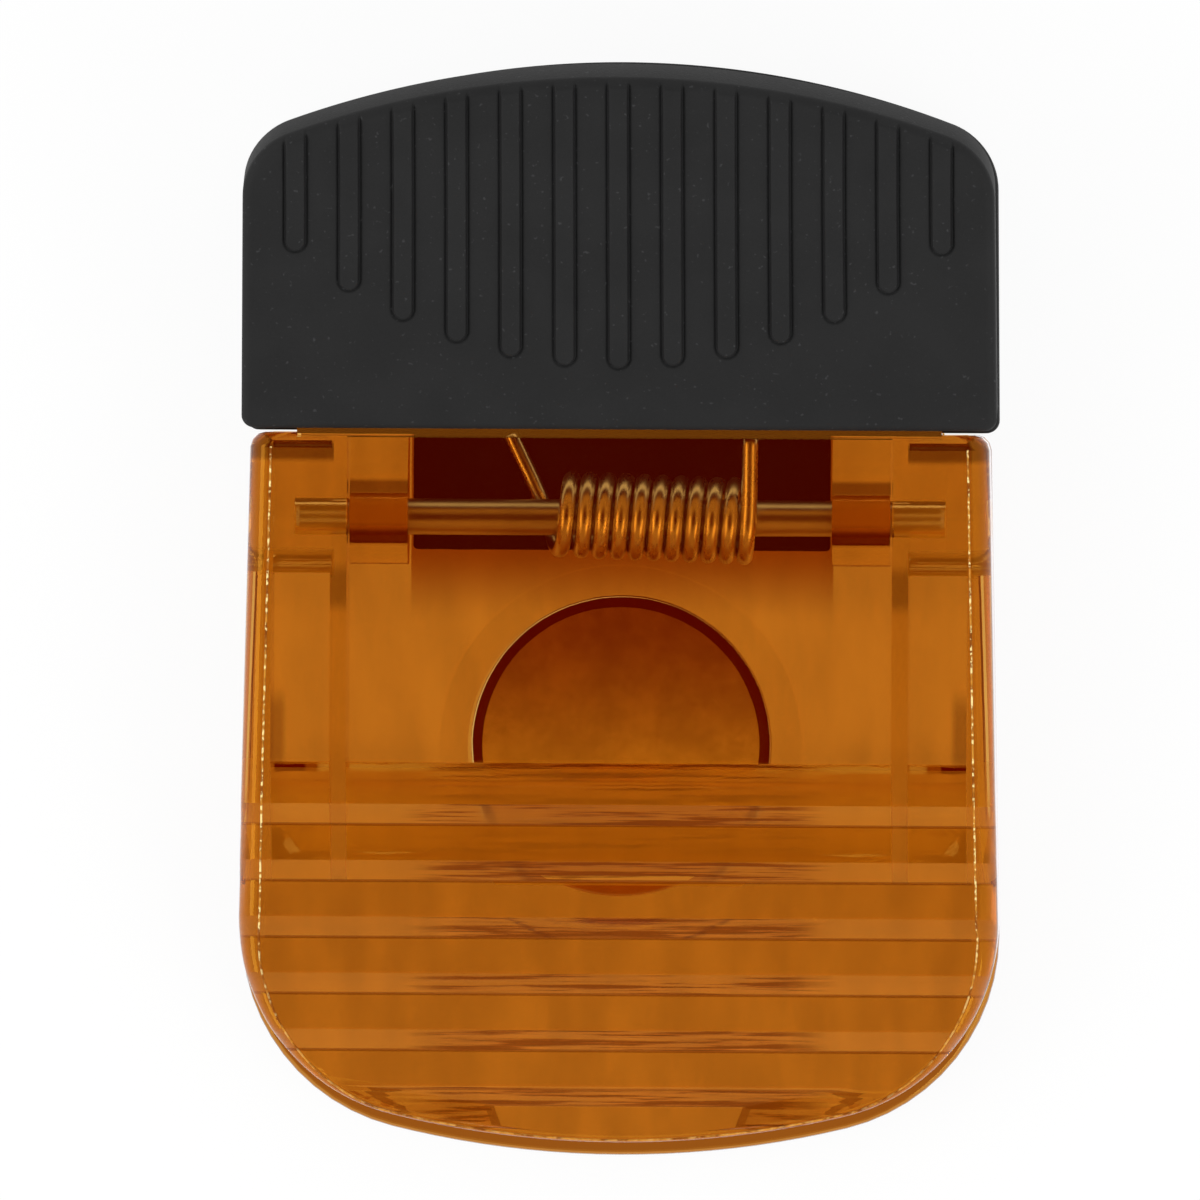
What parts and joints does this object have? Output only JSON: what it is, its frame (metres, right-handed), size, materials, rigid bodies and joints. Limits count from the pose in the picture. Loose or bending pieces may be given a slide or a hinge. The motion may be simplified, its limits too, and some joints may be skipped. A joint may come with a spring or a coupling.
{
  "type": "magnetic spring clip",
  "caption": "Clear amber spring clip with black ribbed grips, a torsion spring on a hinge pin and a magnet in its back, for holding papers on steel.",
  "frame": {"origin": "middle of the clip's footprint, on the face that lies down (the back of the rear jaw)", "axes": "+Y along the clip towards the handles, +Z out of the front jaw, +X across the clip along the hinge pin"},
  "size_m": [0.046, 0.0663, 0.0191],
  "materials": {
    "clear_amber": "clear amber, polished",
    "soft_black": "soft-touch, fine grain",
    "pin_steel": "drawn wire, bright",
    "spring_steel": "drawn spring wire, bright",
    "ferrite": "dark grey ceramic magnet, dull",
    "disc_steel": "stamped disc, light scratches"
  },
  "bodies": {
    "rear": {"rear_jaw": "clear_amber", "rear_grip": "soft_black", "hinge_pin": "pin_steel", "torsion_spring": "spring_steel", "magnet": "ferrite", "magnet_backing": "disc_steel"},
    "front": {"front_jaw": "clear_amber", "front_grip": "soft_black"}
  },
  "joints": [
    {"name": "jaw_hinge", "type": "hinge", "parent": "rear", "child": "front", "pos_m": [0, 0.00555, 0.006], "axis": [-1, 0, 0], "range_deg": [0, 22], "stiffness_Nm_per_rad": 0.068, "springref_deg": -85.94, "deforming": ["torsion_spring"]}
  ]
}
